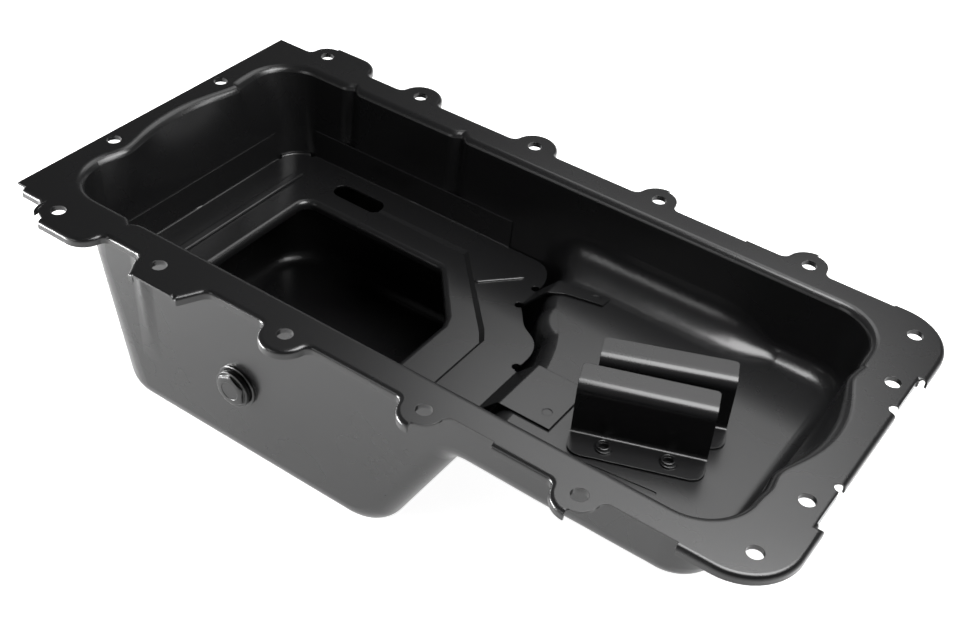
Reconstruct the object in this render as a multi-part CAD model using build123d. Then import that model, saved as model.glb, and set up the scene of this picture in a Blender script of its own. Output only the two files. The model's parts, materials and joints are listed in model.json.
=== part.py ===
from build123d import *
from build123d.topology.shape_core import SkipClean
from math import atan2, cos, degrees, hypot, radians, sin, sqrt, tan
import os

# Engine oil pan, pressed sheet. Millimetres. Origin: middle of the four middle side bolts,
# in the gasket face. +X to the shallow end, +Y to the far side, +Z up to the engine.

# Sheet and flange
SHEET = 1.5
SIDE_BOLT_PITCH = 100.0
SIDE_BOLT_Y = 131.6
HOLE_D = 10.0
EDGE_LEFT_X = 280.0
EDGE_RIGHT_X = 262.7
LIP_Y = 131.0
LIP_DROP = 6.0
LIP_BEND = 3.0
FLAT_Y = 127.5
FLAT_RIGHT_X = 257.3
STEP_RIGHT_X = 258.7
CORNER_R = 35.0
EAR_R = 16.0
EAR_FLAT_R = 12.0
EAR_FILLET = 5.0
TAB_REACH = 16.9
FLARE_R = 5.0
FLARE_UNDER_R = 3.5

# Bolt places that do not follow from the 100 mm pitch
END_BOLT_X = 237.6
NEAR_LAST_X = 150.4
FAR_LAST_X = 160.4
CORNER_BOLT = (240.7, 109.2)
RIGHT_BOLT = (246.5, 59.3)
LEFT_BOLT = (271.7, 52.0)

# Cavity, inner faces
HALF_TOP = 107.2
SIDE_DRAFT = 2.0
SUMP_Z = -163.2
FLOOR_Z = -57.3
JOIN_LEFT = -80.0
JOIN_TOL = 0.002
JOIN_RIGHT = 165.0
SUMP_R = 13.5
NEAR_R = 12.0
FAR_R = 25.0
RAMP_ANGLE = 61.8
RAMP_TOP_X = 53.0
RAMP_SKEW_TOP = 43.0
RAMP_SKEW_FOOT = 12.0
RAMP_FOOT_R = 37.0
RAMP_TOP_R = 14.0
NOSE = (46.0, 52.0)
NOSE_R = 28.0
NOSE_DRAFT = 12.0
NOSE_BEND = 9.0
NOSE_LOW_Z = -125.0
BEAD_OUT = 4.0
BEAD_HALF = 9.0
BEAD_END_Z = -120.0
BEADS_NEAR = (-195.0,)
BEADS_FAR = (-195.0, -98.0)

# Windage tray
TRAY_Z = -70.5
TRAY_FLANGE_Z = -48.4
TRAY_GAP = 0.05
TRAY_END_X = -46.0
TRAY_BEND = 3.0
RECESS = 3.0
RIM_DEPTH = 6.5
RIM_BEND = 4.5
RIB_X = -219.0
RIB_END_Y = 80.0
RIB_W = 8.0
RIB_H = 2.2
CORNER_CUT = (-226.0, 82.0)
WING_FOOT_X = 33.5
WING_HEAD_X = 47.5
WING_END_X = 85.0
WING_Y = (-49.0, -4.0)
DIMPLE_R = 3.2
FAR_WING_LIFT = 0.3

# Deflector brackets
PLATE_L = 83.0
PLATE_BASE = 20.0
PLATE_H = 38.5
PLATE_TOP = 20.0
PLATE_BENDS = (2.5, 6.0)
COLLAR_R = 5.2
COLLAR_HOLE_R = 3.4
PLATE_FRONT = (133.8, -25.6, 21.1)
PLATE_REAR = (131.2, 4.6, 23.1)
COLLAR_U = 19.5

# Drain plug
DRAIN_X = -115.2
DRAIN_Z = -96.2
PAD_R = 15.5
PAD_OUT = 2.5
THREAD_R = 7.0
THREAD_GAP = 0.05
SEAL_T = 1.5
SEAL_R = 12.5
HEAD_R = 13.5
HEAD_T = 2.5
HEX_AF = 21.0
HEX_T = 7.0
BUNG_R = 12.0
BUNG_T = 12.0


def bolts():
    """Centres of the sixteen flange bolts."""
    half_pitch = SIDE_BOLT_PITCH / 2
    near = [-END_BOLT_X, -3 * half_pitch, -half_pitch, half_pitch, NEAR_LAST_X]
    far = [-END_BOLT_X, -3 * half_pitch, -half_pitch, half_pitch, FAR_LAST_X]
    out = [(x, -SIDE_BOLT_Y) for x in near] + [(x, SIDE_BOLT_Y) for x in far]
    for s in (-1, 1):
        out.append((CORNER_BOLT[0], s * CORNER_BOLT[1]))
        out.append((RIGHT_BOLT[0], s * RIGHT_BOLT[1]))
        out.append((-LEFT_BOLT[0], s * LEFT_BOLT[1]))
    return out


def smooth(a, b, x):
    k = min(1.0, max(0.0, (x - a) / (b - a)))
    return k * k * (3 - 2 * k)


def half(z, grow=0.0):
    """Half width of the cavity at height z, grown outward square to the wall."""
    return HALF_TOP + z * tan(radians(SIDE_DRAFT)) + grow / cos(radians(SIDE_DRAFT))


# The two end walls. Above mid_z the wall waves around the end bolts, below it is straight.
# wave: how far the wall stands out at a distance from the middle line.
LEFT = dict(side=-1, join=JOIN_LEFT, top=261.0, mid_z=-48.0, mid=248.5, draft=3.3, low_z=SUMP_Z,
            radii=(31.0, 21.0, 40.0), wave=((54, -4.6), (37, -0.8), (20, 3.2)), foot=SUMP_R,
            near=BEADS_NEAR, far=BEADS_FAR)
RIGHT = dict(side=1, join=JOIN_RIGHT, top=223.5, mid_z=-38.0, mid=216.7, draft=8.0, low_z=FLOOR_Z,
             radii=(31.0, 27.0, 26.0), wave=((62, 1.5), (50, 0.0), (40, 3.0), (30, 7.0), (20, 10.2)),
             foot=NEAR_R, near=(), far=())


def side_edges(y, z, beads, bead_h, x0, x1):
    """Straight wall line from x0 to x1 with its upright beads."""
    step = 1 if x1 > x0 else -1
    out = []
    at = x0
    for b in sorted(beads, key=lambda v: v * step):
        a = b - step * BEAD_HALF
        c = b + step * BEAD_HALF
        out.append(Line((at, y, z), (a, y, z)))
        top = y + bead_h if y > 0 else y - bead_h
        out.append(Spline((a, y, z), (b, top, z), (c, y, z), tangents=((step, 0, 0), (step, 0, 0))))
        at = c
    out.append(Line((at, y, z), (x1, y, z)))
    return out


def end_edges(e, z, grow, beads=True):
    """Edges of one end of the contour at height z, from the join round to the join."""
    s = e["side"]
    r_top, r_mid, r_low = e["radii"]
    lean = tan(radians(e["draft"]))
    fade = 0.0
    if z > e["mid_z"]:
        u = 1 - z / e["mid_z"]
        fade = u ** 1.5
        reach = e["mid"] + (e["top"] - e["mid"]) * fade + lean * -e["mid_z"] * (u - fade)
        r = r_mid + (r_top - r_mid) * u
    else:
        k = (z - e["mid_z"]) / (e["low_z"] - e["mid_z"])
        reach = e["mid"] - lean * (e["mid_z"] - z)
        r = r_mid + (r_low - r_mid) * k
    r += grow
    x = s * (reach + grow / cos(radians(SIDE_DRAFT)))
    h = half(z, grow)
    q = r * (1 - sqrt(0.5))
    xc = x - s * r
    bead_h = BEAD_OUT * max(0.02, 1 - z / BEAD_END_Z) ** 1.3
    edges = side_edges(-h, z, e["near"] if beads else (), bead_h, e["join"], xc)
    edges.append(ThreePointArc((xc, -h, z), (x - s * q, q - h, z), (x, r - h, z)))
    if fade > 0:
        wave = [(x + s * d * fade, y, z) for y, d in e["wave"]]
        mirror = [(p[0], -p[1], z) for p in wave]
        points = [(x, r - h, z)] + mirror + wave[::-1] + [(x, h - r, z)]
        edges.append(Spline(*points, tangents=((0, 1, 0), (0, 1, 0))))
    else:
        edges.append(Line((x, r - h, z), (x, h - r, z)))
    edges.append(ThreePointArc((x, h - r, z), (x - s * q, h - q, z), (xc, h, z)))
    edges += side_edges(h, z, e["far"] if beads else (), bead_h, xc, e["join"])
    return edges


def end_wire(e, z, grow, beads=True):
    h = half(z, grow)
    edges = end_edges(e, z, grow, beads)
    return Wire(edges + [Line((e["join"], h, z), (e["join"], -h, z))])


def end_form(e, grow, top_z):
    """Solid end of the cavity (grow 0) or of the outside (grow SHEET)."""
    mid = e["mid_z"]
    heights = [top_z + (mid - top_z) * k for k in (0, 0.15, 0.32, 0.52, 0.75, 1)]
    out = Solid.make_loft([end_wire(e, z, grow) for z in heights], ruled=False)
    low = e["low_z"] - grow
    if e["near"]:
        out = out + Solid.make_loft([end_wire(e, z, grow) for z in (mid, BEAD_END_Z)], ruled=True)
        mid = BEAD_END_Z
    foot = Solid.make_loft([end_wire(e, z, grow, False) for z in (mid, low)], ruled=True)
    ring = [d for d in foot.edges() if abs(d.center().Z - low) < 0.001 and abs(d.center().X - e["join"]) > 0.1]
    return out + foot.fillet(e["foot"] + grow, ring)


def ramp(side):
    """Foot and top corner of the ramp, its angle and bend radii, on one side wall."""
    w = radians(RAMP_ANGLE)
    rise = FLOOR_Z - SUMP_Z
    foot = RAMP_TOP_X - rise / tan(w)
    if side < 0:
        return foot, RAMP_TOP_X, w, RAMP_FOOT_R, RAMP_TOP_R
    foot -= RAMP_SKEW_FOOT
    top = RAMP_TOP_X - RAMP_SKEW_TOP
    far_w = atan2(rise, top - foot)
    k = (1 - cos(w)) / (1 - cos(far_w))
    return foot, top, far_w, RAMP_FOOT_R * k, RAMP_TOP_R * k


def floor_point(side, zone, k):
    """Point and slope of the floor line. Zones: sump, foot bend, ramp, top bend, shallow floor."""
    foot, top, w, r_foot, r_top = ramp(side)
    a = r_foot * tan(w / 2)
    b = r_top * tan(w / 2)
    if zone == 0:
        return JOIN_LEFT + (foot - a - JOIN_LEFT) * k, SUMP_Z, 0.0
    if zone == 1:
        t = w * k
        return foot - a + r_foot * sin(t), SUMP_Z + r_foot * (1 - cos(t)), t
    if zone == 2:
        x0, z0 = foot + a * cos(w), SUMP_Z + a * sin(w)
        x1, z1 = top - b * cos(w), FLOOR_Z - b * sin(w)
        return x0 + (x1 - x0) * k, z0 + (z1 - z0) * k, w
    if zone == 3:
        t = w * (1 - k)
        return top + b - r_top * sin(t), FLOOR_Z - r_top * (1 - cos(t)), t
    return top + b + (JOIN_RIGHT - top - b) * k, FLOOR_Z, 0.0


def corner_radius(side, zone, k):
    if side < 0:
        return SUMP_R + (NEAR_R - SUMP_R) * smooth(0, 0.6, k if zone == 4 else 0)
    if zone < 3:
        return SUMP_R + (FAR_R - SUMP_R) * (k if zone == 2 else 0)
    return FAR_R + (NEAR_R - FAR_R) * smooth(0.72, 1.0, k if zone == 4 else 0)


def section(zone, k, grow, top_z):
    """Closed section across the pan: wall, rounded corner, floor, rounded corner, wall, top."""
    c, s = cos(radians(SIDE_DRAFT)), sin(radians(SIDE_DRAFT))
    ends = []
    for side in (-1, 1):
        px, pz, a = floor_point(side, zone, k)
        r = corner_radius(side, zone, k)
        nx, nz = -sin(a), cos(a)
        bx, bz = px + nx * r, pz + nz * r
        by = half(bz) - r / c
        rr = r + grow
        v = (-nx, side * c, -nz - s)
        n = hypot(*v)
        ends.append(((bx, side * half(top_z, grow), top_z),
                     (bx, side * (by + rr * c), bz - rr * s),
                     (bx + rr * v[0] / n, side * by + rr * v[1] / n, bz + rr * v[2] / n),
                     (px - nx * grow, side * by, pz - nz * grow)))
    n, f = ends
    mid = half(FLOOR_Z)
    floor = Bezier(n[3], (n[3][0], 0.6 * mid, n[3][2]), (f[3][0], 0.3 * mid, f[3][2]), f[3])
    return Wire([Line(n[0], n[1]), ThreePointArc(n[1], n[2], n[3]), floor,
                 ThreePointArc(f[3], f[2], f[1]), Line(f[1], f[0]), Line(f[0], n[0])])


def middle_form(grow, top_z):
    """The middle of the pan with its skewed ramp, sewn from lofted strips."""
    faces = [Face(section(0, 0.0, grow, top_z)), Face(section(4, 1.0, grow, top_z))]
    for zone, n, ruled in ((0, 1, True), (1, 4, False), (2, 1, True), (3, 4, False), (4, 7, False)):
        faces += Shell.make_loft([section(zone, i / n, grow, top_z) for i in range(n + 1)], ruled=ruled).faces()
    return Solid(Shell(faces))


def nose(grow):
    """Space under the rounded nose at the top of the ramp, smaller by grow."""
    lean = tan(radians(NOSE_DRAFT))
    top = FLOOR_Z - 0.05 - grow
    height = top - NOSE_LOW_Z
    r = NOSE_R + grow * lean - grow / cos(radians(NOSE_DRAFT))
    body = Pos(*NOSE, NOSE_LOW_Z + height / 2) * Cone(r + height * lean, r, height)
    return fillet(body.edges().group_by(Axis.Z)[-1], NOSE_BEND - grow)


def form(grow, top_z):
    middle = middle_form(grow, top_z)
    return end_form(LEFT, grow, top_z).fuse(middle, end_form(RIGHT, grow, top_z), tol=JOIN_TOL)


def rim_wire(z, grow):
    """Whole contour of the opening at one height."""
    h = half(z, grow)
    edges = end_edges(LEFT, z, grow) + end_edges(RIGHT, z, grow)
    return Wire(edges + [Line((JOIN_LEFT, -h, z), (JOIN_RIGHT, -h, z)), Line((JOIN_RIGHT, h, z), (JOIN_LEFT, h, z))])


def flare(r, grow, z0, top_z):
    """Funnel of bend radius r that runs from the level z0 into the wall."""
    wires = [rim_wire(top_z, grow + r)]
    for i in range(7):
        t = radians(12.0 * i)
        wires.append(rim_wire(z0 - r * (1 - cos(t)), grow + r * (1 - sin(t))))
    wires.append(rim_wire(z0 - 0.9 * r, grow - 0.08 * SHEET))
    return Solid.make_loft(wires, ruled=True)


def box(x0, x1, y0, y1, z0, z1):
    return Pos((x0 + x1) / 2, (y0 + y1) / 2, (z0 + z1) / 2) * Box(x1 - x0, y1 - y0, z1 - z0)


def plate(x0, x1, y0, y1):
    return Pos((x0 + x1) / 2, (y0 + y1) / 2) * Rectangle(x1 - x0, y1 - y0)


def outline(ear_r, y, x0, x1, corner, tab_y):
    """Flange outline with its ears. tab_y is the edge of the wide tab on the near side."""
    wide = SIDE_BOLT_PITCH / 2 - 26.4
    first = -3 * SIDE_BOLT_PITCH / 2
    base = plate(x0, x1, -y, y)
    if corner:
        base = fillet(base.vertices().sort_by(Axis.X)[-2:], corner)
    for bx, by in bolts():
        if abs(by) > y - 5:
            base += Pos(bx, by) * Circle(ear_r)
    for s in (-1, 1):
        bx = -END_BOLT_X
        base += Pos(bx + wide, s * SIDE_BOLT_Y) * Circle(ear_r)
        base += plate(bx, bx + wide, *sorted((s * (y - 5), s * (SIDE_BOLT_Y + ear_r))))
    low = SIDE_BOLT_Y + TAB_REACH
    base += make_face(Polyline((first - ear_r, -y + 5), (first - ear_r, -SIDE_BOLT_Y - 5), (first - 9, -low),
                               (first + 30, -low), (first + 39, -y), (first + 39, -y + 5), close=True))
    base += plate(first - 7, first + 28, -tab_y, -low + 1)
    inner = [v for v in base.vertices() if abs(abs(v.Y) - y) < 0.05 and x0 + 1 < v.X < x1 - CORNER_R - 1]
    return fillet(inner, EAR_FILLET)


def flange():
    """Flat flange with the turned down lip and its plain stretches."""
    lip = outline(EAR_R, LIP_Y, -EDGE_LEFT_X - 12, EDGE_RIGHT_X, CORNER_R, SIDE_BOLT_Y + TAB_REACH + 4)
    lip -= plate(STEP_RIGHT_X, EDGE_RIGHT_X + 5, -72.5, 71.0)
    plain = outline(EAR_FLAT_R, FLAT_Y, -EDGE_LEFT_X, FLAT_RIGHT_X, 0, SIDE_BOLT_Y + TAB_REACH)
    body = extrude(lip, -LIP_DROP)
    body = fillet(body.edges().filter_by_position(Axis.Z, -0.01, 0.01), LIP_BEND)
    hollow = Pos(0, 0, -SHEET) * extrude(offset(lip, -SHEET), -LIP_DROP)
    hollow = fillet(hollow.edges().filter_by_position(Axis.Z, -SHEET - 0.01, -SHEET + 0.01), LIP_BEND - SHEET)
    body -= hollow
    y0, y1 = FLAT_Y - 17, SIDE_BOLT_Y + 30
    mid = SIDE_BOLT_PITCH / 2
    stretches = [(-300, -END_BOLT_X, y0, y1), (mid, 117, y0, y1), (FAR_LAST_X, 220, y0, y1),
                 (-300, -272, -y1, -y0), (-251, -239, -y1, -y0), (mid, 94, -y1, -y0), (NEAR_LAST_X, 207, -y1, -y0),
                 (-157.2, -121.8, -y1, -SIDE_BOLT_Y - 11), (-300, -275, -y1, y1),
                 (245, 275, 41, 71.3), (245, 275, -70.5, -40.5)]
    cut = [box(x0, x1, ya, yb, -2 * LIP_DROP, LIP_DROP) for x0, x1, ya, yb in stretches]
    tool = cut[0].fuse(*cut[1:]) - Pos(0, 0, LIP_DROP + 1) * extrude(plain, -3 * LIP_DROP - 2)
    body -= tool
    for x, y, r in ((256.8, 38.0, 4.0), (256.8, -39.5, 3.5), (260.6, 71.3, 2.6)):
        body -= Pos(x, y, 0) * Cylinder(r, 4 * LIP_DROP)
    for x, y in bolts():
        body -= Pos(x, y, 0) * Cylinder(HOLE_D / 2, 4 * SHEET)
    return body


def across(x, y, z, r, length):
    """Cylinder that runs outward (-Y) from y."""
    return Pos(x, y - length / 2, z) * Rot(90, 0, 0) * Cylinder(r, length)


def wall_y():
    """Outer face of the near wall at the drain."""
    return -half(DRAIN_Z, SHEET)


def pad_y():
    return wall_y() - PAD_OUT


def pan_shell():
    boss = across(DRAIN_X, wall_y() + 6, DRAIN_Z, PAD_R, 6 + PAD_OUT)
    boss = fillet(boss.edges().sort_by(Axis.Y)[0], 1.2)
    body = flange()
    # Faces that meet smoothly stay split here: merging them would damage the lofted walls
    with SkipClean():
        nose_in, nose_out = nose(0.0), nose(SHEET)
        outer = form(SHEET, -SHEET / 2).fuse(flare(FLARE_UNDER_R, SHEET, -SHEET, -SHEET / 2), tol=JOIN_TOL)
        inner = form(0.0, 2.0).fuse(flare(FLARE_R, 0.0, 0.0, 2.0), tol=JOIN_TOL)
        body = body + (outer - nose_out)
        body = body + boss
        body = body - (inner - nose_in)
        body = body - across(DRAIN_X, wall_y() + 8, DRAIN_Z, PAD_R - SHEET, 8 + PAD_OUT - SHEET)
        body = body - across(DRAIN_X, wall_y() + 8, DRAIN_Z, THREAD_R + 0.3, 20)
        # Narrow pressed line in the shallow floor
        line = Rot(0, 0, 6.9) * extrude(SlotOverall(71, 2.6), 4)
        body = body - Pos(126.5, -57.4, FLOOR_Z - 0.45 * SHEET) * line
    return body.solids()[0]


def tray_wire(z, grow):
    e = LEFT
    k = (z - e["mid_z"]) / (e["low_z"] - e["mid_z"])
    r = e["radii"][1] + (e["radii"][2] - e["radii"][1]) * k + grow
    x = -(e["mid"] - tan(radians(e["draft"])) * (e["mid_z"] - z) + grow / cos(radians(SIDE_DRAFT)))
    h = half(z, grow)
    q = r * (1 - sqrt(0.5))
    end = WING_END_X + 10
    return Wire([Line((end, -h, z), (x + r, -h, z)), ThreePointArc((x + r, -h, z), (x + q, q - h, z), (x, r - h, z)),
                 Line((x, r - h, z), (x, h - r, z)), ThreePointArc((x, h - r, z), (x + q, h - q, z), (x + r, h, z)),
                 Line((x + r, h, z), (end, h, z)), Line((end, h, z), (end, -h, z))])


def tray_block(grow, low, high, bend):
    body = Solid.make_loft([tray_wire(high, grow), tray_wire(low, grow)], ruled=True)
    ring = [d for d in body.edges() if abs(d.center().Z - low) < 0.001 and d.center().X < WING_END_X + 5]
    return body.fillet(bend, ring)


def recess_loft(rim, foot, z, slope):
    """Shallow block from the rim at the level z down to a foot whose floor falls to the right."""
    a = [(x, y, z) for x, y in rim]
    b = [(x, y, z - slope * (x - rim[0][0])) for x, y in foot]
    return Solid.make_loft([Wire(Polyline(*p, close=True).edges()) for p in (a, b)], ruled=True)


def strip(points, bends):
    """Face of a bent sheet: its upper line and the sheet below it. bends: inner radius of each bend."""
    n = len(points)
    dirs = []
    for a, b in zip(points[:-1], points[1:]):
        length = hypot(b[0] - a[0], b[1] - a[1])
        dirs.append(((b[0] - a[0]) / length, (b[1] - a[1]) / length))
    under = []
    for i, p in enumerate(points):
        d1, d2 = dirs[max(i - 1, 0)], dirs[min(i, n - 2)]
        m = SHEET / (1 + d1[0] * d2[0] + d1[1] * d2[1])
        under.append((p[0] + (d1[1] + d2[1]) * m, p[1] - (d1[0] + d2[0]) * m))
    face = Polygon(*points, *under[::-1], align=None)
    for i in range(1, n - 1):
        d1, d2 = dirs[i - 1], dirs[i]
        up = d1[0] * d2[1] - d1[1] * d2[0] > 0
        inner = bends[i - 1]
        for p, r in ((points[i], inner), (under[i], inner + SHEET)) if up else ((points[i], inner + SHEET), (under[i], inner)):
            face = fillet(face.vertices().sort_by_distance((*p, 0))[0], r)
    return face


def bent(points, bends, y0, y1):
    """Bent sheet whose line lies in X and Z, from y0 to y1."""
    place = Plane(origin=(0, y1, 0), x_dir=(1, 0, 0), z_dir=(0, -1, 0))
    return extrude(place * strip(points, bends), y1 - y0, dir=(0, -1, 0))


def opening():
    """Opening in the tray above the sump."""
    points = ((-194, -72), (-194, 55.7), (-71.6, 55.7), (-37.5, 14.8), (-34.1, 6), (-34.1, -72))
    face = make_face(Polyline(*points, close=True))
    for p, r in ((points[0], 9), (points[1], 9), (points[2], 6), (points[5], 9)):
        face = fillet(face.vertices().sort_by_distance((*p, 0))[0], r)
    return face


def tray_right_edge():
    """Plan of the tray right of its side flanges, with the scalloped edge."""
    far = half(TRAY_Z) - 1.0
    edges = [Line((TRAY_END_X - 1, -far), (TRAY_END_X - 1, far)),
             Line((TRAY_END_X - 1, far), (-22, far)),
             Spline((-22, far), (-9, 97), (-4, 87), (-3, 76), tangents=((1, -0.1), (0, -1))),
             Line((-3, 76), (-3, 54)),
             Spline((-3, 54), (5, 45), (12, 37), (21.4, 31.4), (27.8, 24.6), (31, 15), (31, 2)),
             Line((31, 2), (31, -51)),
             Spline((31, -51), (28, -64), (16, -80), (-6, -95), (TRAY_END_X - 1, -far))]
    return make_face(Wire(edges))


def windage_tray():
    low = TRAY_Z - SHEET
    body = tray_block(-TRAY_GAP, low, TRAY_FLANGE_Z, TRAY_BEND)
    body -= tray_block(-TRAY_GAP - SHEET, TRAY_Z, TRAY_FLANGE_Z, TRAY_BEND - SHEET)
    keep = box(-300, TRAY_END_X, -150, 150, low - 1, 0) + Pos(0, 0, low - 1) * extrude(tray_right_edge(), SHEET + 1)
    body = body & keep
    # Recess around the opening: its floor is tilted, level with the plate at the left rib
    rim = ((RIB_X + 8, -92), (RIB_X + 8, 81), (-66, 81), (-7, 17), (-1, 8), (-1, -92))
    foot = ((RIB_X + 11, -89), (RIB_X + 11, 78), (-67.3, 78), (-10, 15.5), (-4, 6.8), (-4, -89))
    slope = RECESS / (-4 - RIB_X - 8)
    body += recess_loft(rim, foot, low, slope)
    body -= recess_loft(rim, foot, TRAY_Z, slope)
    # Rolled rim of the opening, made flat and then tilted with the recess
    hole = opening()
    tilt = Pos(RIB_X + 8, 0, TRAY_Z) * Rot(0, degrees(atan2(slope, 1)), 0) * Pos(-RIB_X - 8, 0, 0)
    ring = extrude(offset(hole, 7.0), -RIM_DEPTH)
    ring -= Pos(0, 0, 1) * extrude(hole, -RIM_DEPTH - 2)
    inner = ring.faces().filter_by_position(Axis.Z, -0.01, 0.01)[0].inner_wires()
    ring = fillet(inner[0].edges(), RIM_BEND)
    under = Pos(0, 0, -SHEET) * extrude(offset(hole, 8.0), -RIM_DEPTH)
    under -= Pos(0, 0, 1 - SHEET) * extrude(offset(hole, SHEET), -RIM_DEPTH - 2)
    inner = under.faces().filter_by_position(Axis.Z, -SHEET - 0.01, -SHEET + 0.01)[0].inner_wires()
    under = fillet(inner[0].edges(), RIM_BEND - SHEET)
    body -= tilt * Pos(0, 0, 1) * extrude(offset(hole, 6.5), -RIM_DEPTH - 2)
    body += tilt * (ring - under)
    # Raised rib beside the left flange
    place = Pos(RIB_X, (RIB_END_Y - 96) / 2, TRAY_Z - 0.5) * Rot(0, 0, 90)
    rib = place * extrude(SlotOverall(RIB_END_Y + 96, RIB_W), RIB_H + 0.5)
    body += fillet(rib.edges().group_by(Axis.Z)[-1], RIB_H - 0.2)
    body -= place * Pos(0, 0, -2) * extrude(SlotOverall(RIB_END_Y + 96 - 2 * SHEET, RIB_W - 2 * SHEET), 2.5 + RIB_H - SHEET)
    # Wings that climb to the shallow floor
    lift = FLOOR_Z + SHEET
    body += bent(((10, TRAY_Z), (WING_FOOT_X, TRAY_Z), (WING_HEAD_X, lift), (WING_END_X, lift)), (2.0, 2.0), *WING_Y)
    # The far one lies on its weld projection, clear of the large corner radius of the pan
    level = lift + FAR_WING_LIFT
    far_wing = bent(((-12, TRAY_Z), (-2.5, TRAY_Z), (11.5, level), (55, level)), (2.0, 2.0), 50, 92)
    plan = ((-12, 55.5), (0, 55.5), (15, 63), (22.6, 67.8), (36.5, 71.1), (48.7, 73.7), (49.2, 83.6), (36, 82),
            (20, 79), (0, 75.5), (-12, 74))
    body += far_wing & Pos(0, 0, low - 1) * extrude(make_face(Polyline(*plan, close=True)), 30)
    # Stiffening bead, slot, corner reliefs, notches beside the wings, weld dimples
    bead = Pos(-30, 69, TRAY_Z - 0.5) * Rot(0, 0, 47.5) * extrude(SlotOverall(36, 4.4), 1.7)
    body += fillet(bead.edges().group_by(Axis.Z)[-1], 1.1)
    body -= Pos(-165.75, 81.25, low - 5) * extrude(SlotOverall(43.1, 14.7), 10)
    for s in (-1, 1):
        body -= box(-256, CORNER_CUT[0], *sorted((s * CORNER_CUT[1], s * 112)), TRAY_Z + 1.8, 0)
        body -= Pos(-246, s * (CORNER_CUT[1] + 2), TRAY_Z) * Cylinder(2.4, 8)
        body -= Pos(CORNER_CUT[0] - 2, s * 103.4, TRAY_Z) * Cylinder(2.4, 8)
    for x, y in ((-5, 76), (-4, 54), (30, 0), (31, -53)):
        body -= Pos(x, y, TRAY_Z) * Cylinder(3.0, 8)
    body += Pos(41.6, 77.5, FLOOR_Z + FAR_WING_LIFT / 2) * Cylinder(DIMPLE_R, FAR_WING_LIFT)
    for x, y, z in ((76, -37, lift), (41.6, 77.5, level)):
        body -= Pos(x, y, z) * Cylinder(DIMPLE_R, 0.8)
    return body


def deflector(place):
    x, y, turn = place
    line = ((-PLATE_BASE, SHEET), (0, SHEET), (0, PLATE_H), (PLATE_TOP, PLATE_H))
    profile = Plane(origin=(-PLATE_L / 2, 0, 0), x_dir=(0, 1, 0), z_dir=(1, 0, 0)) * strip(line, PLATE_BENDS)
    body = extrude(profile, PLATE_L, dir=(1, 0, 0))
    corners = [d for d in body.edges().filter_by(Axis.Z) if abs(d.center().Y + PLATE_BASE) < 0.01]
    body = fillet(corners, 9.0)
    corners = [d for d in body.edges().filter_by(Axis.Z) if abs(d.center().Y - PLATE_TOP) < 0.01]
    body = fillet(corners, 3.0)
    for u in (-COLLAR_U, COLLAR_U):
        collar = Pos(u, -PLATE_BASE * 0.52, SHEET + 0.5) * Cylinder(COLLAR_R, 1.6)
        body += fillet(collar.edges().group_by(Axis.Z)[-1], 0.5)
        body -= Pos(u, -PLATE_BASE * 0.52, SHEET) * Cylinder(COLLAR_HOLE_R, 8)
    return Pos(x, y, FLOOR_Z) * Rot(0, 0, turn) * body


def drain_bung():
    y = pad_y() + SHEET + BUNG_T
    body = across(DRAIN_X, y, DRAIN_Z, BUNG_R, BUNG_T)
    body = chamfer(body.edges().group_by(Axis.Y)[-1], 1.0)
    return body - across(DRAIN_X, y + 1, DRAIN_Z, THREAD_R + THREAD_GAP, BUNG_T + 2)


def drain_plug_seal():
    return across(DRAIN_X, pad_y(), DRAIN_Z, SEAL_R, SEAL_T) - across(DRAIN_X, pad_y() + 1, DRAIN_Z, THREAD_R + 0.3, SEAL_T + 2)


def drain_plug():
    y = pad_y() - SEAL_T
    shank = across(DRAIN_X, y + SEAL_T + SHEET + BUNG_T + 1.5, DRAIN_Z, THREAD_R, SEAL_T + SHEET + BUNG_T + 1.5)
    shank = chamfer(shank.edges().group_by(Axis.Y)[-1], 1.0)
    head = across(DRAIN_X, y, DRAIN_Z, HEAD_R, HEAD_T)
    head = fillet(head.edges().group_by(Axis.Y)[0], 0.8)
    across_corners = HEX_AF / cos(radians(30))
    place = Plane(origin=(DRAIN_X, y - HEAD_T, DRAIN_Z), x_dir=(1, 0, 0), z_dir=(0, -1, 0))
    hexagon = extrude(place * RegularPolygon(across_corners / 2, 6), HEX_T)
    cone = place * Pos(0, 0, (HEX_T - 10) / 2 + 5 - 5) * Cone(across_corners / 2 + 6, across_corners / 2 - 0.9, HEX_T)
    return shank + head + (hexagon & cone)


if __name__ == "__main__":
    os.makedirs("parts", exist_ok=True)
    nodes = {
        "pan_shell": pan_shell(),
        "windage_tray": windage_tray(),
        "deflector_front": deflector(PLATE_FRONT),
        "deflector_rear": deflector(PLATE_REAR),
        "drain_bung": drain_bung(),
        "drain_plug_seal": drain_plug_seal(),
        "drain_plug": drain_plug(),
    }
    for name, body in nodes.items():
        export_step(body, os.path.join("parts", name + ".step"))
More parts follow.
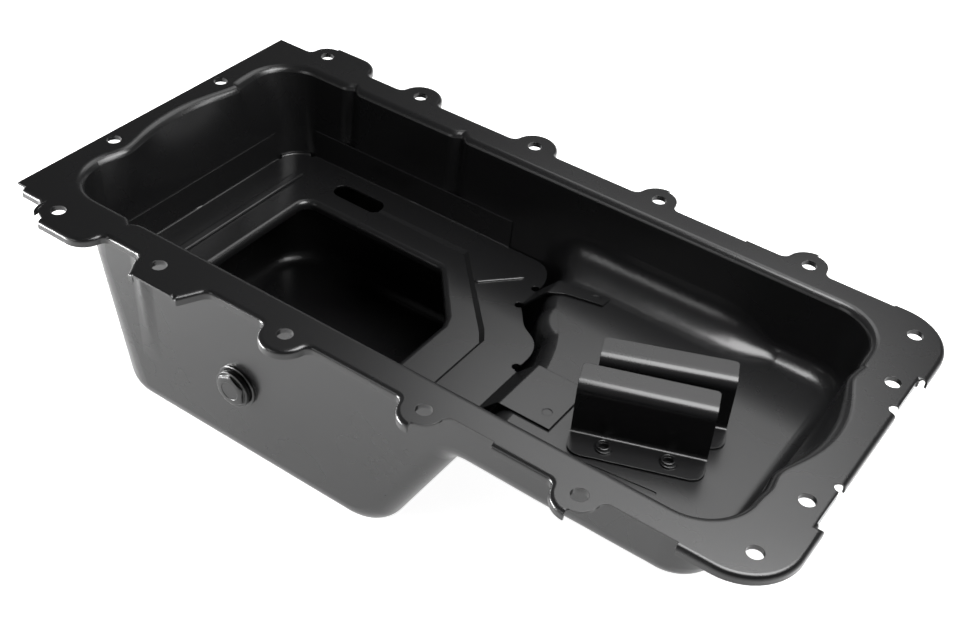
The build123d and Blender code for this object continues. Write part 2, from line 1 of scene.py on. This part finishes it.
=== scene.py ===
import bpy
import bmesh
import json
from math import copysign, cos, pi, radians, sin, tan
from mathutils import Euler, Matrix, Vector


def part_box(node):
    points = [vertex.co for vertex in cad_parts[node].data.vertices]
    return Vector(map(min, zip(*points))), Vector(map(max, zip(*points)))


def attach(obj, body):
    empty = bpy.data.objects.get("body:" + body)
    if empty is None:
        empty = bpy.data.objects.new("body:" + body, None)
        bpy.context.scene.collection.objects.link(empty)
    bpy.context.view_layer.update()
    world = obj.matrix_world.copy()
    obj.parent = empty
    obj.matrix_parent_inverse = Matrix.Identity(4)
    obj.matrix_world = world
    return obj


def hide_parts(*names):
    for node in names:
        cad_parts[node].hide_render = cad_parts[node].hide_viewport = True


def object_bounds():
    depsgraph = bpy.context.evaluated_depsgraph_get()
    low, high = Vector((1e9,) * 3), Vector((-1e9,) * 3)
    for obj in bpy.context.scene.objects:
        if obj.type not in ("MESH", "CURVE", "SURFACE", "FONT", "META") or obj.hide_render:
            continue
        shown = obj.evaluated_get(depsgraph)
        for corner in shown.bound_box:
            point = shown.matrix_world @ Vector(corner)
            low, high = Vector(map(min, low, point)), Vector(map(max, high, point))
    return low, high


bl_info = {
    "name": "Engine oil pan",
    "version": (1, 0, 0),
    "blender": (4, 5, 0),
    "location": "3D View > Sidebar > Oil pan",
    "description": "Black dip painted oil pan with its tray, deflectors and drain plug",
    "category": "Object",
}

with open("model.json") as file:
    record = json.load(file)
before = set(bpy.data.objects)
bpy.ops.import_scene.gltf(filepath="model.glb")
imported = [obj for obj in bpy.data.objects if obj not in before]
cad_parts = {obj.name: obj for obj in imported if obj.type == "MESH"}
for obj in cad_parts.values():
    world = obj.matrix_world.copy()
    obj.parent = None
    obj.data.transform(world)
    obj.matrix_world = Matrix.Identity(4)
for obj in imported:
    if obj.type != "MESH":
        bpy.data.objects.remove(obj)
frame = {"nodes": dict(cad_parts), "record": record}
CAD_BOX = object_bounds()
PLUG_LOW, PLUG_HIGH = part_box("drain_plug")
SEAL_LOW, SEAL_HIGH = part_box("drain_plug_seal")

PAINTED_NODES = ("pan_shell", "windage_tray", "deflector_front", "deflector_rear", "drain_bung")


# Sizes and colours

class PaintLook(bpy.types.PropertyGroup):
    colour: bpy.props.FloatVectorProperty(
        name="Colour", description="Colour of the dip paint",
        subtype="COLOR", size=3, min=0, max=1, default=(0.0065, 0.0065, 0.0068))
    roughness: bpy.props.FloatProperty(
        name="Roughness", description="How matt the dip paint is",
        subtype="FACTOR", min=0, max=1, default=0.27)
    peel_size: bpy.props.FloatProperty(
        name="Peel size", description="Distance between the bumps of the orange peel",
        unit="LENGTH", min=0.0002, max=0.01, default=0.0016)
    peel_depth: bpy.props.FloatProperty(
        name="Peel depth", description="Height of the orange peel",
        unit="LENGTH", min=0, max=0.0002, default=0.000004)
    edge_round: bpy.props.FloatProperty(
        name="Edge rounding", description="Radius that the paint gives a cut edge",
        unit="LENGTH", min=0, max=0.001, default=0.0005)


class CollarLook(bpy.types.PropertyGroup):
    depth: bpy.props.FloatProperty(
        name="Bolt collar depth", description="Distance from the gasket face to the lower rim of a bolt hole",
        unit="LENGTH", min=0.002, max=0.006, default=0.0038)
    wall: bpy.props.FloatProperty(
        name="Collar wall", description="Wall of the bolt collars, a little more on the deflectors",
        unit="LENGTH", min=0.0005, max=0.002, default=0.0012)
    height: bpy.props.FloatProperty(
        name="Deflector collar height", description="Height of the collars on the deflectors",
        unit="LENGTH", min=0.001, max=0.004, default=0.0024)


class PlugLook(bpy.types.PropertyGroup):
    pitch: bpy.props.FloatProperty(
        name="Thread pitch", description="Distance between two turns of the thread",
        unit="LENGTH", min=0.0005, max=0.003, default=0.0015)
    hex_size: bpy.props.FloatProperty(
        name="Hexagon", description="Width across the flats of the head",
        unit="LENGTH", min=0.01, max=0.025, default=0.021)
    colour: bpy.props.FloatVectorProperty(
        name="Plug colour", description="Colour of the coated steel plug",
        subtype="COLOR", size=3, min=0, max=1, default=(0.02, 0.02, 0.02))
    seal_colour: bpy.props.FloatVectorProperty(
        name="Seal colour", description="Colour of the crush washer",
        subtype="COLOR", size=3, min=0, max=1, default=(0.10, 0.10, 0.10))


class StageLook(bpy.types.PropertyGroup):
    floor_colour: bpy.props.FloatVectorProperty(
        name="Floor", description="Colour of the floor",
        subtype="COLOR", size=3, min=0, max=1, default=(0.86, 0.86, 0.86))
    key: bpy.props.FloatProperty(
        name="Back light", description="Power of the soft light behind, above the pan",
        unit="POWER", min=0, max=500, default=4.5)
    overhead: bpy.props.FloatProperty(
        name="Overhead light", description="Power of the soft light over the shallow end",
        unit="POWER", min=0, max=500, default=8)
    side: bpy.props.FloatProperty(
        name="Side light", description="Power of the soft light at the front left",
        unit="POWER", min=0, max=500, default=1.6)
    front: bpy.props.FloatProperty(
        name="Front light", description="Power of the low soft light before the near wall",
        unit="POWER", min=0, max=500, default=15)
    sky: bpy.props.FloatProperty(
        name="Room light", description="Level of the even light of the room",
        min=0, max=2, default=0.12)
    ceiling: bpy.props.FloatProperty(
        name="Ceiling", description="How bright the ceiling is in reflections",
        min=0, max=1, default=0.1)


# Small helpers

def add(tree, kind, **values):
    node = tree.nodes.new(kind)
    for key, value in values.items():
        setattr(node, key, value)
    return node


def calculate(tree, operation, *values):
    """Output of a Math node that takes the given sockets and numbers."""
    node = add(tree, "ShaderNodeMath", operation=operation)
    for value, socket in zip(values, node.inputs):
        if isinstance(value, float):
            socket.default_value = value
        else:
            tree.links.new(value, socket)
    return node.outputs[0]


def fade(tree, value, start, end, **values):
    """Map Range node between the given start and end, from 0 to 1 until its To sockets are set."""
    node = add(tree, "ShaderNodeMapRange", **values)
    node.inputs["From Min"].default_value = start
    node.inputs["From Max"].default_value = end
    tree.links.new(value, node.inputs["Value"])
    return node


def new_material(name):
    material = bpy.data.materials.new(name)
    material.use_nodes = True
    tree = material.node_tree
    return material, tree, tree.nodes["Principled BSDF"]


def mesh_object(name, mesh, smooth_angle):
    """Object with the finished mesh, smooth but for edges sharper than the angle in degrees."""
    data = bpy.data.meshes.new(name)
    mesh.to_mesh(data)
    mesh.free()
    data.shade_smooth()
    data.set_sharp_from_angle(angle=radians(smooth_angle))
    return bpy.data.objects.new(name, data)


def finish_piece(piece, body, material, nodes=()):
    piece.data.materials.append(material)
    bpy.context.scene.collection.objects.link(piece)
    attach(piece, body)
    if nodes:
        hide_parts(*nodes)


def quarter(steps):
    """Angles from 0 to a right angle in even steps."""
    return [pi / 2 * k / steps for k in range(steps + 1)]


# Paint

PEEL_DETAIL = 1.5
PEEL_SOFTNESS = 0.45
CLOUD_SCALE = 14.0
CLOUD_DETAIL = 4.0
CLOUD_AMOUNT = 0.06
SPECK_SCALE = 900.0
SPECK_DETAIL = 3.0
SPECK_EDGE = (0.62, 0.8)
DUST_AMOUNT = 0.1
DUST_GAIN = 3
DUST_GREY = 0.05
LOOKS_UP = (0.3, 1.0)
BEVEL_SAMPLES = 4


def surface_noise(group, place, detail):
    noise = add(group, "ShaderNodeTexNoise")
    noise.inputs["Detail"].default_value = detail
    group.links.new(place.outputs["Object"], noise.inputs["Vector"])
    return noise


def surface_group():
    """Orange peel, cloudy gloss and a little settled dust, for every painted or plain metal face."""
    name = "coated_metal_surface"
    if name in bpy.data.node_groups:
        return bpy.data.node_groups[name]
    group = bpy.data.node_groups.new(name, "ShaderNodeTree")
    face = group.interface
    for label in ("Peel Size", "Roughness", "Cloud", "Dust"):
        face.new_socket(label, in_out="INPUT", socket_type="NodeSocketFloat")
    for label in ("Base", "Dusty"):
        face.new_socket(label, in_out="INPUT", socket_type="NodeSocketColor")
    face.new_socket("Colour", in_out="OUTPUT", socket_type="NodeSocketColor")
    face.new_socket("Roughness", in_out="OUTPUT", socket_type="NodeSocketFloat")
    face.new_socket("Peel", in_out="OUTPUT", socket_type="NodeSocketFloat")
    given = add(group, "NodeGroupInput")
    out = add(group, "NodeGroupOutput")
    place = add(group, "ShaderNodeTexCoord")
    # Peel: soft bumps at the given distance
    peel = surface_noise(group, place, PEEL_DETAIL)
    peel.inputs["Roughness"].default_value = PEEL_SOFTNESS
    group.links.new(calculate(group, "DIVIDE", 1.0, given.outputs["Peel Size"]), peel.inputs["Scale"])
    group.links.new(peel.outputs["Fac"], out.inputs["Peel"])
    # Cloud: broad drift of the gloss
    cloud = surface_noise(group, place, CLOUD_DETAIL)
    cloud.inputs["Scale"].default_value = CLOUD_SCALE
    centred = calculate(group, "SUBTRACT", cloud.outputs["Fac"], 0.5)
    drift = calculate(group, "MULTIPLY_ADD", centred, given.outputs["Cloud"], given.outputs["Roughness"])
    group.links.new(drift, out.inputs["Roughness"])
    # Dust: fine specks, only where a face looks up
    specks = surface_noise(group, place, SPECK_DETAIL)
    specks.inputs["Scale"].default_value = SPECK_SCALE
    few = fade(group, specks.outputs["Fac"], *SPECK_EDGE)
    shape = add(group, "ShaderNodeNewGeometry")
    split = add(group, "ShaderNodeSeparateXYZ")
    group.links.new(shape.outputs["Normal"], split.inputs[0])
    upward = fade(group, split.outputs["Z"], *LOOKS_UP)
    settled = calculate(group, "MULTIPLY", few.outputs[0], upward.outputs[0])
    amount = calculate(group, "MULTIPLY", settled, given.outputs["Dust"])
    tint = add(group, "ShaderNodeMix", data_type="RGBA")
    group.links.new(amount, tint.inputs["Factor"])
    group.links.new(given.outputs["Base"], tint.inputs[6])
    group.links.new(given.outputs["Dusty"], tint.inputs[7])
    group.links.new(tint.outputs[2], out.inputs["Colour"])
    return group


def dusty(colour):
    """Paler colour of the dust that lies on a coating."""
    return [min(1, DUST_GAIN * c + DUST_GREY) for c in colour]


def coated(name, colour, roughness, peel_size, peel_depth, metallic=0.0, edge=0.0):
    """Material whose colour, gloss and bumps come from the shared surface group."""
    material, tree, shader = new_material(name)
    look = add(tree, "ShaderNodeGroup", node_tree=surface_group())
    look.inputs["Peel Size"].default_value = peel_size
    look.inputs["Roughness"].default_value = roughness
    look.inputs["Cloud"].default_value = CLOUD_AMOUNT
    look.inputs["Dust"].default_value = DUST_AMOUNT
    look.inputs["Base"].default_value = (*colour, 1)
    look.inputs["Dusty"].default_value = (*dusty(colour), 1)
    bump = add(tree, "ShaderNodeBump")
    bump.inputs["Strength"].default_value = 1.0
    bump.inputs["Distance"].default_value = peel_depth
    tree.links.new(look.outputs["Peel"], bump.inputs["Height"])
    tree.links.new(look.outputs["Colour"], shader.inputs["Base Color"])
    tree.links.new(look.outputs["Roughness"], shader.inputs["Roughness"])
    tree.links.new(bump.outputs["Normal"], shader.inputs["Normal"])
    shader.inputs["Metallic"].default_value = metallic
    if edge:
        rounded = add(tree, "ShaderNodeBevel", samples=BEVEL_SAMPLES)
        rounded.inputs["Radius"].default_value = edge
        tree.links.new(rounded.outputs["Normal"], bump.inputs["Normal"])
    return material


class OILPAN_OT_paint_pressings(bpy.types.Operator):
    """Gives the pan, its tray, the deflectors and the drain bung their black dip paint"""
    bl_idname = "oilpan.paint_pressings"
    bl_label = "Paint the pressings"

    def execute(self, context):
        look = context.scene.oilpan_paint
        paint = coated("black_dip_paint", look.colour, look.roughness, look.peel_size, look.peel_depth,
                       edge=look.edge_round)
        for name in PAINTED_NODES:
            node = frame["nodes"][name]
            node.data.materials.clear()
            node.data.materials.append(paint)
            for face in node.data.polygons:
                face.material_index = 0
        return {"FINISHED"}


# Collars of the holes. BOLT is for those of the bolt holes, BASE for those on the deflector bases

SHEET = 0.0015
COLLAR_SMOOTH = 40
BOLT_POINTS = 64
BOLT_SUNK = 0.00005
BOLT_ROOT_R = 0.0012
BOLT_ROOT_STEPS = 5
BOLT_CHAMFER = 0.0003
BASE_POINTS = 48
BASE_SUNK = 0.0005
BASE_HOLE_R = 0.0031
BASE_THICKER = 0.0004
BASE_RIM = 0.0007
BASE_RIM_STEPS = 8
BASE_ROOT_R = 0.001
BASE_ROOT_STEPS = 4
BASE_ALONG = 0.0195
BASE_ACROSS = 0.0104
DEFLECTOR_TURNS = {"deflector_front": 21.1, "deflector_rear": 23.1}


def turned(mesh, profile, centre, count):
    """Closed ring with the given profile of radii and heights, around a vertical axis."""
    angles = [2 * pi * i / count for i in range(count)]
    rows = []
    for r, z in profile:
        rows.append([mesh.verts.new(centre + Vector((r * cos(a), r * sin(a), z))) for a in angles])
    for low, high in zip(rows, rows[1:] + rows[:1]):
        for i in range(count):
            j = (i + 1) % count
            mesh.faces.new((low[i], low[j], high[j], high[i]))


def bolt_holes():
    """Places and radii of the bolt holes, worked out from the record's bolt patterns."""
    holes = set()
    for mount in frame["record"]["mounts"]:
        if mount["kind"] == "bolt_pattern":
            x, y, _ = mount["pos_m"]
            dx = mount["dims"].get("spacing_x_mm", 0) / 2000
            dy = mount["dims"].get("spacing_y_mm", 0) / 2000
            radius = mount["dims"]["hole_r_mm"] / 1000
            for a in (-1, 1):
                for b in (-1, 1):
                    holes.add((round(x + a * dx, 5), round(y + b * dy, 5), radius))
    return sorted(holes)


def bolt_collars(look):
    """Collars pressed down around the bolt holes, rounded into the underside of the flange."""
    mesh = bmesh.new()
    top = BOLT_SUNK - SHEET
    for x, y, hole_r in bolt_holes():
        outer = hole_r + look.wall
        profile = [
            (hole_r, top),
            (hole_r, BOLT_CHAMFER - look.depth),
            (hole_r + BOLT_CHAMFER, -look.depth),
            (outer - BOLT_CHAMFER, -look.depth),
            (outer, BOLT_CHAMFER - look.depth),
        ]
        for a in quarter(BOLT_ROOT_STEPS):
            profile.append((outer + BOLT_ROOT_R * (1 - cos(a)), top - BOLT_ROOT_R * (1 - sin(a))))
        turned(mesh, profile, Vector((x, y, 0)), BOLT_POINTS)
    bmesh.ops.recalc_face_normals(mesh, faces=mesh.faces)
    return mesh


def deflector_collars(look):
    """Rolled collars that stand on the bases of the deflectors."""
    mesh = bmesh.new()
    outer = BASE_HOLE_R + look.wall + BASE_THICKER
    middle = (BASE_HOLE_R + outer) / 2
    half_wall = (outer - BASE_HOLE_R) / 2
    profile = [(BASE_HOLE_R, -BASE_SUNK)]
    for k in range(BASE_RIM_STEPS + 1):
        a = pi * k / BASE_RIM_STEPS
        profile.append((middle - half_wall * cos(a), look.height - BASE_RIM * (1 - sin(a))))
    for a in quarter(BASE_ROOT_STEPS):
        profile.append((outer + BASE_ROOT_R * (1 - cos(a)), BASE_ROOT_R * (1 - sin(a))))
    profile.append((outer + BASE_ROOT_R, -BASE_SUNK))
    for name, turn in DEFLECTOR_TURNS.items():
        low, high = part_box(name)
        c, s = cos(radians(turn)), sin(radians(turn))
        base = Vector(((low.x + high.x) / 2, (low.y + high.y) / 2, low.z + SHEET))
        for along in (-BASE_ALONG, BASE_ALONG):
            place = base + Vector((along * c + BASE_ACROSS * s, along * s - BASE_ACROSS * c, 0))
            turned(mesh, profile, place, BASE_POINTS)
    bmesh.ops.recalc_face_normals(mesh, faces=mesh.faces)
    return mesh


class OILPAN_OT_make_collars(bpy.types.Operator):
    """Builds the collars around the bolt holes and on the bases of the deflectors"""
    bl_idname = "oilpan.make_collars"
    bl_label = "Make the collars"

    def execute(self, context):
        look = context.scene.oilpan_collars
        paint = frame["nodes"]["pan_shell"].data.materials[0]
        below = mesh_object("bolt_hole_collars", bolt_collars(look), COLLAR_SMOOTH)
        finish_piece(below, "pan", paint)
        above = mesh_object("deflector_collars", deflector_collars(look), COLLAR_SMOOTH)
        finish_piece(above, "pan", paint)
        return {"FINISHED"}


# Drain plug. Shares are of half the width across the flats

PLUG_POINTS = 96
PLUG_SMOOTH = 35
FLANGE_T = 0.0025
FLANGE_ROUND = 0.0008
FLANGE_STEPS = 4
FLANGE_CHAMFER = 0.0002
DISH_SHARE = 0.62
DISH_RIM_SHARE = 0.66
DISH_DEPTH = 0.0003
FACE_SHARE = 0.97
CHAMFER_SHARE = 0.985
CHAMFER_ANGLE = radians(30)
CORNER_WEAR = 0.00035
EDGE_IN = 0.00012
EDGE_ABOVE = 0.00002
EDGE_BELOW = 0.00018
NECK_START = 0.0005
NECK_OUT = 0.00035
NECK_END = 0.00008
SKIRT_OUT = 0.0006
SKIRT_MIN = 0.001
SHANK_R = 0.007
THREAD_DEPTH_SHARE = 0.613
ROWS_PER_TURN = 14
FLANK_SLOPE = 1.6
ROOT_FLAT = 0.25
RUN_IN = 0.0012
RUN_OUT = 0.0013
PLAIN_TIP = 0.0002
TIP_CHAMFER = 0.0008
SEAL_POINTS = 72
SEAL_SMOOTH = 40
SEAL_BORE_R = 0.0073
RIM_POINTS = 28
RIM_POWER = 0.3


def ring(mesh, count, radius, depth, centre):
    """Ring of points around the plug's axis. radius and depth are numbers or functions of the angle."""
    out = []
    for i in range(count):
        a = 2 * pi * i / count
        r = radius(a) if callable(radius) else radius
        d = depth(a) if callable(depth) else depth
        out.append(mesh.verts.new((centre.x + r * cos(a), centre.y + d, centre.z + r * sin(a))))
    return out


def skin(mesh, rings):
    """Faces between neighbouring rings."""
    for a, b in zip(rings[:-1], rings[1:]):
        n = len(a)
        for i in range(n):
            j = (i + 1) % n
            mesh.faces.new((a[i], a[j], b[j], b[i]))


def head_profile(half, flange_r, top):
    """Radii and depths from the dished face of the hexagon over its flange to the seat."""
    corner = half / cos(pi / 6) - CORNER_WEAR

    def hexagon(a):
        local = (a + pi / 6) % (pi / 3) - pi / 6
        return min(half / cos(local), corner)

    def chamfer(a):
        return top + max(0.0, hexagon(a) - half * CHAMFER_SHARE) * tan(CHAMFER_ANGLE)

    profile = [
        (half * DISH_SHARE, top + DISH_DEPTH),
        (half * DISH_RIM_SHARE, top),
        (half * FACE_SHARE, top),
        (lambda a: hexagon(a) - EDGE_IN, lambda a: chamfer(a) + EDGE_ABOVE),
        (hexagon, lambda a: chamfer(a) + EDGE_BELOW),
        (hexagon, -FLANGE_T - NECK_START),
        (lambda a: hexagon(a) + NECK_OUT, -FLANGE_T - NECK_END),
        (lambda a: max(hexagon(a) + SKIRT_OUT, half + SKIRT_MIN), -FLANGE_T),
    ]
    for a in quarter(FLANGE_STEPS):
        profile.append((flange_r - FLANGE_ROUND * (1 - sin(a)), -FLANGE_T + FLANGE_ROUND * (1 - cos(a))))
    return profile + [(flange_r, -FLANGE_CHAMFER), (flange_r - FLANGE_CHAMFER, 0.0)]


def plug_mesh(look):
    """Hexagon head with its flange, chamfers and a threaded shank, along +Y from the head."""
    mesh = bmesh.new()
    axis = (PLUG_LOW + PLUG_HIGH) / 2
    seat = Vector((axis.x, SEAL_LOW.y, axis.z))
    length = PLUG_HIGH.y - seat.y
    core = SHANK_R - THREAD_DEPTH_SHARE * look.pitch

    def thread(a, along):
        """Radius where the helix passes, run in at the head and faded into the chamfered tip."""
        phase = (along / look.pitch - a / (2 * pi)) % 1.0
        tooth = max(0.0, min(1.0, FLANK_SLOPE * (1 - abs(2 * phase - 1)) - ROOT_FLAT))
        run_in = min(1.0, along / RUN_IN)
        run_out = min(1.0, max(0.0, (length - PLAIN_TIP - along) / RUN_OUT))
        tip = min(0.0, length - along - TIP_CHAMFER)
        return core + (SHANK_R - core) * tooth * run_in * run_out + tip

    profile = head_profile(look.hex_size / 2, (PLUG_HIGH.x - PLUG_LOW.x) / 2, PLUG_LOW.y - seat.y)
    profile.append((core, 0.0))
    rings = [ring(mesh, PLUG_POINTS, radius, depth, seat) for radius, depth in profile]
    rows = int(length / look.pitch * ROWS_PER_TURN)
    for k in range(1, rows + 1):
        along = length * k / rows
        rings.append(ring(mesh, PLUG_POINTS, lambda a: thread(a, along), along, seat))
    skin(mesh, rings)
    mesh.faces.new(rings[0][::-1])
    mesh.faces.new(rings[-1])
    bmesh.ops.recalc_face_normals(mesh, faces=mesh.faces)
    return mesh


def boxy(value):
    """Pushes a sine or cosine outward, which turns a round section into one with rounded corners."""
    return copysign(abs(value) ** RIM_POWER, value)


def seal_mesh():
    """Crush washer with rounded rims."""
    mesh = bmesh.new()
    centre = (SEAL_LOW + SEAL_HIGH) / 2
    outer_r = (SEAL_HIGH.x - SEAL_LOW.x) / 2
    half_t = (SEAL_HIGH.y - SEAL_LOW.y) / 2
    middle = (outer_r + SEAL_BORE_R) / 2
    half_w = (outer_r - SEAL_BORE_R) / 2
    rings = []
    for k in range(RIM_POINTS):
        a = 2 * pi * k / RIM_POINTS
        rings.append(ring(mesh, SEAL_POINTS, middle + half_w * boxy(cos(a)), half_t * boxy(sin(a)), centre))
    skin(mesh, rings + rings[:1])
    bmesh.ops.recalc_face_normals(mesh, faces=mesh.faces)
    return mesh


class OILPAN_OT_make_drain_plug(bpy.types.Operator):
    """Builds the drain plug with its thread and the crush washer under its head"""
    bl_idname = "oilpan.make_drain_plug"
    bl_label = "Make the drain plug"

    def execute(self, context):
        look = context.scene.oilpan_plug
        steel = coated("plug_black_oxide", look.colour, roughness=0.34, peel_size=0.0009,
                       peel_depth=0.000003, metallic=0.4)
        plug = mesh_object("threaded_drain_plug", plug_mesh(look), PLUG_SMOOTH)
        finish_piece(plug, "plug", steel, ["drain_plug"])
        soft = coated("crush_washer_metal", look.seal_colour, roughness=0.45, peel_size=0.0012,
                      peel_depth=0.000004, metallic=0.9)
        seal = mesh_object("crush_washer", seal_mesh(), SEAL_SMOOTH)
        finish_piece(seal, "seal", soft, ["drain_plug_seal"])
        return {"FINISHED"}


# Stage

FLOOR_HALF = 4.0
FLOOR_CELLS = 4
SEEN_WHITE = 0.93
CEILING_FADE = (0.08, 0.2)
# Name, the property with its power, width and depth, place, point that it faces
SOFTBOXES = (
    ("softbox_behind", "key", (0.7, 0.7), (-0.2, 0.8, 1.05), (0.05, 0, -0.05)),
    ("softbox_overhead", "overhead", (0.45, 0.45), (0.24, 0.06, 0.55), (0.14, 0, -0.05)),
    ("softbox_front_left", "side", (0.5, 0.3), (-0.41, -1.12, 0.46), (0.05, 0.1, -0.05)),
    ("softbox_low_front", "front", (0.5, 0.1), (-0.75, -0.5, -0.08), (-0.2, -0.1, -0.08)),
)
CAMERA_PLACE = (0.36231, -0.58935, 0.52484)
CAMERA_TURN = (50.288, -4.067, 35.001)
CAMERA_LENS = 52.245
CAMERA_FILM = 36.0
CAMERA_REACH = (0.01, 50.0)


def seen_rays(tree):
    """1 for camera, glossy and transmission rays."""
    path = add(tree, "ShaderNodeLightPath")
    first = calculate(tree, "MAXIMUM", path.outputs["Is Camera Ray"], path.outputs["Is Glossy Ray"])
    return calculate(tree, "MAXIMUM", first, path.outputs["Is Transmission Ray"])


def floor_material(colour):
    """Diffuse floor that keeps the shadow, lifted to white for the camera and in reflections."""
    material, tree, shader = new_material("stage_floor")
    tree.nodes.remove(shader)
    matt = add(tree, "ShaderNodeBsdfDiffuse")
    matt.inputs["Color"].default_value = (*colour, 1)
    white = add(tree, "ShaderNodeEmission")
    tree.links.new(calculate(tree, "MULTIPLY", seen_rays(tree), SEEN_WHITE), white.inputs["Strength"])
    both = add(tree, "ShaderNodeAddShader")
    tree.links.new(matt.outputs[0], both.inputs[0])
    tree.links.new(white.outputs[0], both.inputs[1])
    tree.links.new(both.outputs[0], tree.nodes["Material Output"].inputs["Surface"])
    return material


def lay_floor(scene, colour):
    """Large flat floor at the height of the pan's lowest point."""
    mesh = bmesh.new()
    bmesh.ops.create_grid(mesh, x_segments=FLOOR_CELLS, y_segments=FLOOR_CELLS, size=FLOOR_HALF)
    data = bpy.data.meshes.new("studio_floor")
    mesh.to_mesh(data)
    mesh.free()
    floor = bpy.data.objects.new("studio_floor", data)
    floor.location.z = CAD_BOX[0].z
    data.materials.append(floor_material(colour))
    scene.collection.objects.link(floor)


def light_room(scene, level, ceiling):
    """Bright horizon and a dark ceiling for the camera and reflections, one even level for all else."""
    world = bpy.data.worlds.new("studio_room")
    scene.world = world
    world.use_nodes = True
    tree = world.node_tree
    place = add(tree, "ShaderNodeTexCoord")
    split = add(tree, "ShaderNodeSeparateXYZ")
    tree.links.new(place.outputs["Generated"], split.inputs[0])
    height = fade(tree, split.outputs["Z"], *CEILING_FADE, interpolation_type="SMOOTHSTEP")
    height.inputs["To Min"].default_value = 1.0
    height.inputs["To Max"].default_value = ceiling
    strength = fade(tree, seen_rays(tree), 0.0, 1.0)
    strength.inputs["To Min"].default_value = level
    tree.links.new(height.outputs[0], strength.inputs["To Max"])
    back = tree.nodes["Background"]
    back.inputs["Color"].default_value = (1, 1, 1, 1)
    tree.links.new(strength.outputs[0], back.inputs["Strength"])


def hang_softbox(scene, name, power, size, place, aim):
    data = bpy.data.lights.new(name, "AREA")
    data.shape = "RECTANGLE"
    data.size, data.size_y = size
    data.energy = power
    lamp = bpy.data.objects.new(name, data)
    lamp.location = place
    lamp.rotation_mode = "QUATERNION"
    lamp.rotation_quaternion = (Vector(aim) - Vector(place)).to_track_quat("-Z", "Y")
    scene.collection.objects.link(lamp)


def place_camera(scene):
    """Camera at the photograph's viewing angle, solved from the bolt holes."""
    data = bpy.data.cameras.new("view_from_photo")
    data.lens = CAMERA_LENS
    data.sensor_width = CAMERA_FILM
    data.clip_start, data.clip_end = CAMERA_REACH
    camera = bpy.data.objects.new("view_from_photo", data)
    camera.location = CAMERA_PLACE
    camera.rotation_euler = Euler([radians(angle) for angle in CAMERA_TURN], "XYZ")
    scene.collection.objects.link(camera)
    scene.camera = camera


class OILPAN_OT_make_stage(bpy.types.Operator):
    """Builds the floor, the even room light, the soft lights and the camera"""
    bl_idname = "oilpan.make_stage"
    bl_label = "Make the stage"

    def execute(self, context):
        scene = context.scene
        look = scene.oilpan_stage
        lay_floor(scene, look.floor_colour)
        light_room(scene, look.sky, look.ceiling)
        for name, power, size, place, aim in SOFTBOXES:
            hang_softbox(scene, name, getattr(look, power), size, place, aim)
        place_camera(scene)
        scene.view_settings.view_transform = "Standard"
        return {"FINISHED"}


# Panel and start

# Each group of settings: its property of the scene, its class, the operator that uses it
SETTINGS = (
    ("oilpan_paint", PaintLook, OILPAN_OT_paint_pressings),
    ("oilpan_collars", CollarLook, OILPAN_OT_make_collars),
    ("oilpan_plug", PlugLook, OILPAN_OT_make_drain_plug),
    ("oilpan_stage", StageLook, OILPAN_OT_make_stage),
)


class OILPAN_PT_panel(bpy.types.Panel):
    bl_label = "Oil pan"
    bl_idname = "OILPAN_PT_panel"
    bl_space_type = "VIEW_3D"
    bl_region_type = "UI"
    bl_category = "Oil pan"

    def draw(self, context):
        for place, look, operator in SETTINGS:
            column = self.layout.column()
            for name in look.__annotations__:
                column.prop(getattr(context.scene, place), name)
            column.operator(operator.bl_idname)


def register():
    for place, look, operator in SETTINGS:
        bpy.utils.register_class(look)
        bpy.utils.register_class(operator)
        setattr(bpy.types.Scene, place, bpy.props.PointerProperty(type=look))
    bpy.utils.register_class(OILPAN_PT_panel)


def unregister():
    bpy.utils.unregister_class(OILPAN_PT_panel)
    for place, look, operator in reversed(SETTINGS):
        delattr(bpy.types.Scene, place)
        bpy.utils.unregister_class(operator)
        bpy.utils.unregister_class(look)


def main():
    register()
    bpy.ops.oilpan.paint_pressings()
    bpy.ops.oilpan.make_collars()
    bpy.ops.oilpan.make_drain_plug()
    bpy.ops.oilpan.make_stage()


if __name__ == "__main__":
    main()
